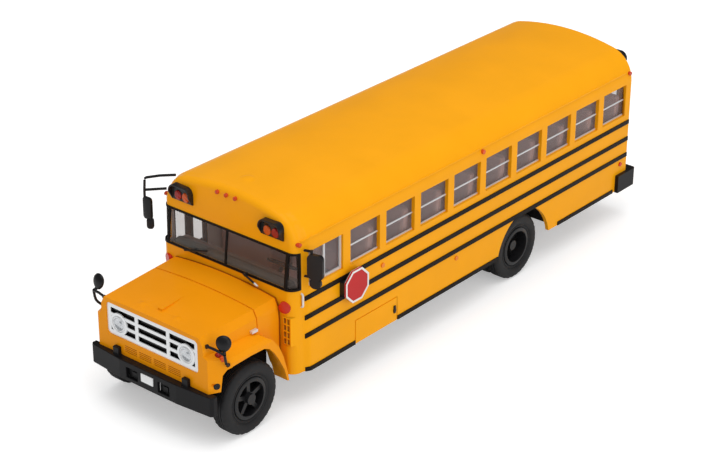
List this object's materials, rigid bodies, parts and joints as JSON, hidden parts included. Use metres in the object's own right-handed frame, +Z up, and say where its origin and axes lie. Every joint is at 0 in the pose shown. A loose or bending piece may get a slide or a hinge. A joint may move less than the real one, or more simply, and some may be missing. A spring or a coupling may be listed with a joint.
{
  "type": "school bus scale model",
  "caption": "Die-cast scale model of a school bus with a forward bonnet, glazed saloon, mirrors, stop sign and rolling wheels.",
  "frame": {"origin": "on the floor, under the middle of the model, halfway between the bumpers", "axes": "+Z up; the front faces -Y; the bus's left side is +X"},
  "size_m": [0.0688, 0.2152, 0.0658],
  "materials": {
    "yellow_paint": "glossy school-bus yellow enamel on a zinc casting",
    "black_paint": "satin black",
    "black_plastic": "moulded, fine grain",
    "bright_metal": "vacuum-plated plastic",
    "silver_paint": "printed silver line",
    "clear_glazing": "clear moulded plastic, slightly smoky",
    "headlamp_lens": "clear lens over a bright bowl",
    "red_lens": "translucent red",
    "amber_lens": "translucent orange",
    "plate_white": "plain white",
    "sign_red": "red face with a white rim",
    "saloon_plastic": "moulded",
    "seat_plastic": "moulded",
    "axle_steel": "drawn pin",
    "tyre_rubber": "soft plastic, matt"
  },
  "bodies": {
    "root": {"body_shell": "yellow_paint", "bonnet_and_wings": "yellow_paint", "grille": "bright_metal", "headlamps": "headlamp_lens", "front_bumper": "black_paint", "bumper_plate": "plate_white", "rear_bumper": "black_paint", "chassis_base": "black_plastic", "saloon_floor": "saloon_plastic", "passenger_seats": "seat_plastic", "driver_seat": "seat_plastic", "steering_wheel": "black_plastic", "windscreen_frame": "black_paint", "windscreen_glass": "clear_glazing", "side_glass": "clear_glazing", "rear_glass": "clear_glazing", "door_glass": "clear_glazing", "window_sashes": "silver_paint", "driver_window_frame": "silver_paint", "entry_door": "yellow_paint", "emergency_door": "yellow_paint", "rub_rails": "black_paint", "skirt_strips": "black_paint", "lamp_hoods": "black_plastic", "amber_warning_lamps": "amber_lens", "red_warning_lamps": "red_lens", "marker_lamps": "red_lens", "side_lamps": "amber_lens", "cowl_lamps": "amber_lens", "tail_lamps": "red_lens", "turn_lamps": "amber_lens", "left_mirror": "black_plastic", "right_mirror": "black_plastic", "crossover_mirrors": "black_plastic", "wipers": "black_plastic", "stop_sign": "sign_red", "stop_sign_box": "black_plastic", "grab_handle": "silver_paint", "latches": "silver_paint"},
    "front_wheelset": {"front_axle": "axle_steel", "front_wheels": "black_plastic", "front_tyres": "tyre_rubber"},
    "rear_wheelset": {"rear_axle": "axle_steel", "rear_wheels": "black_plastic", "rear_tyres": "tyre_rubber"}
  },
  "joints": [
    {"name": "front_wheels_roll", "type": "hinge", "parent": "root", "child": "front_wheelset", "pos_m": [0, -0.09035, 0.01154], "axis": [1, 0, 0], "continuous": true},
    {"name": "rear_wheels_roll", "type": "hinge", "parent": "root", "child": "rear_wheelset", "pos_m": [0, 0.03975, 0.01154], "axis": [1, 0, 0], "continuous": true}
  ]
}
